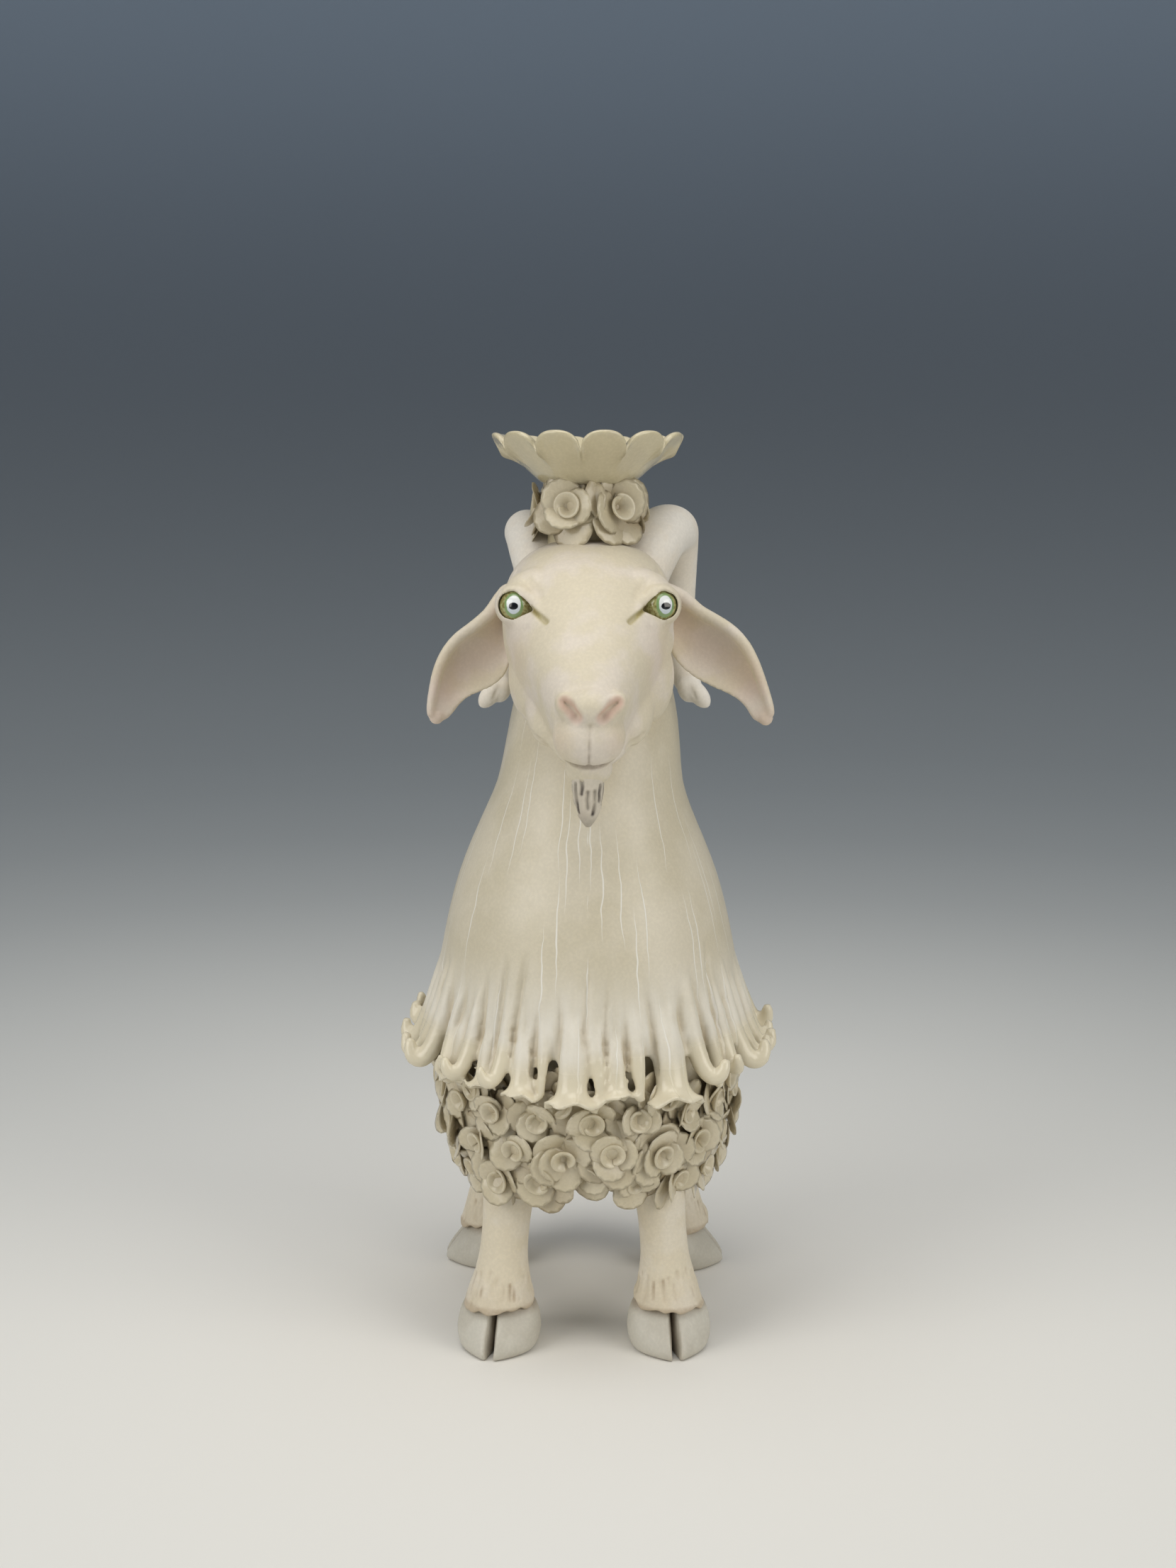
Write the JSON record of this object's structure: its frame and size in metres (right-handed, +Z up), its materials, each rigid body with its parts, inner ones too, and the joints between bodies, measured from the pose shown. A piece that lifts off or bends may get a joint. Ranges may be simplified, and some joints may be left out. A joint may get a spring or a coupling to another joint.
{
  "type": "ceramic goat candle holder",
  "caption": "Standing goat figure in hand-built white clay: candle dish and wreath on its head, curled horns, drooping ears, fringed mantle and rose-covered body.",
  "frame": {"origin": "on the surface the figure stands on, under the middle of its bounding box", "axes": "+Z up, -Y the way the goat faces, +X towards the goat's own left side"},
  "size_m": [0.14, 0.1649, 0.3295],
  "materials": {
    "bisque": "matte white clay with a thin satin slip",
    "cream_glaze": "glossy cream glaze",
    "hoof_white": "satin, brown wash in the crevices",
    "eye_glaze": "glossy green, pale blue and black glaze",
    "beard_wash": "matte, dark oxide wash in the grooves"
  },
  "bodies": {
    "root": {"beard": "beard_wash", "body_shell": "cream_glaze", "candle_socket": "cream_glaze", "crown_rose_1": "cream_glaze", "crown_rose_2": "cream_glaze", "crown_rose_3": "cream_glaze", "crown_rose_4": "cream_glaze", "crown_rose_5": "cream_glaze", "crown_rose_6": "cream_glaze", "drip_dish": "cream_glaze", "front_left_inner_toe": "hoof_white", "front_left_leg": "bisque", "front_left_outer_toe": "hoof_white", "front_right_inner_toe": "hoof_white", "front_right_leg": "bisque", "front_right_outer_toe": "hoof_white", "head": "bisque", "left_ear": "bisque", "left_eye": "eye_glaze", "left_horn": "bisque", "mantle": "bisque", "rear_left_back_toe": "hoof_white", "rear_left_front_toe": "hoof_white", "rear_left_leg": "bisque", "rear_right_back_toe": "hoof_white", "rear_right_front_toe": "hoof_white", "rear_right_leg": "bisque", "right_ear": "bisque", "right_eye": "eye_glaze", "right_horn": "bisque", "rose_spray_01": "cream_glaze", "rose_spray_02": "cream_glaze", "rose_spray_03": "cream_glaze", "rose_spray_04": "cream_glaze", "rose_spray_05": "cream_glaze", "rose_spray_06": "cream_glaze", "rose_spray_07": "cream_glaze", "rose_spray_08": "cream_glaze", "rose_spray_09": "cream_glaze", "rose_spray_10": "cream_glaze", "rose_spray_11": "cream_glaze", "rose_spray_12": "cream_glaze", "rose_spray_13": "cream_glaze", "rose_spray_14": "cream_glaze", "rose_spray_15": "cream_glaze", "rose_spray_16": "cream_glaze", "rose_spray_17": "cream_glaze", "rose_spray_18": "cream_glaze", "rose_spray_19": "cream_glaze", "rose_spray_20": "cream_glaze", "rose_spray_21": "cream_glaze", "rose_spray_22": "cream_glaze", "rump_rose_1": "cream_glaze", "rump_rose_2": "cream_glaze", "rump_rose_3": "cream_glaze", "rump_rose_4": "cream_glaze", "tail": "bisque"}
  },
  "joints": []
}
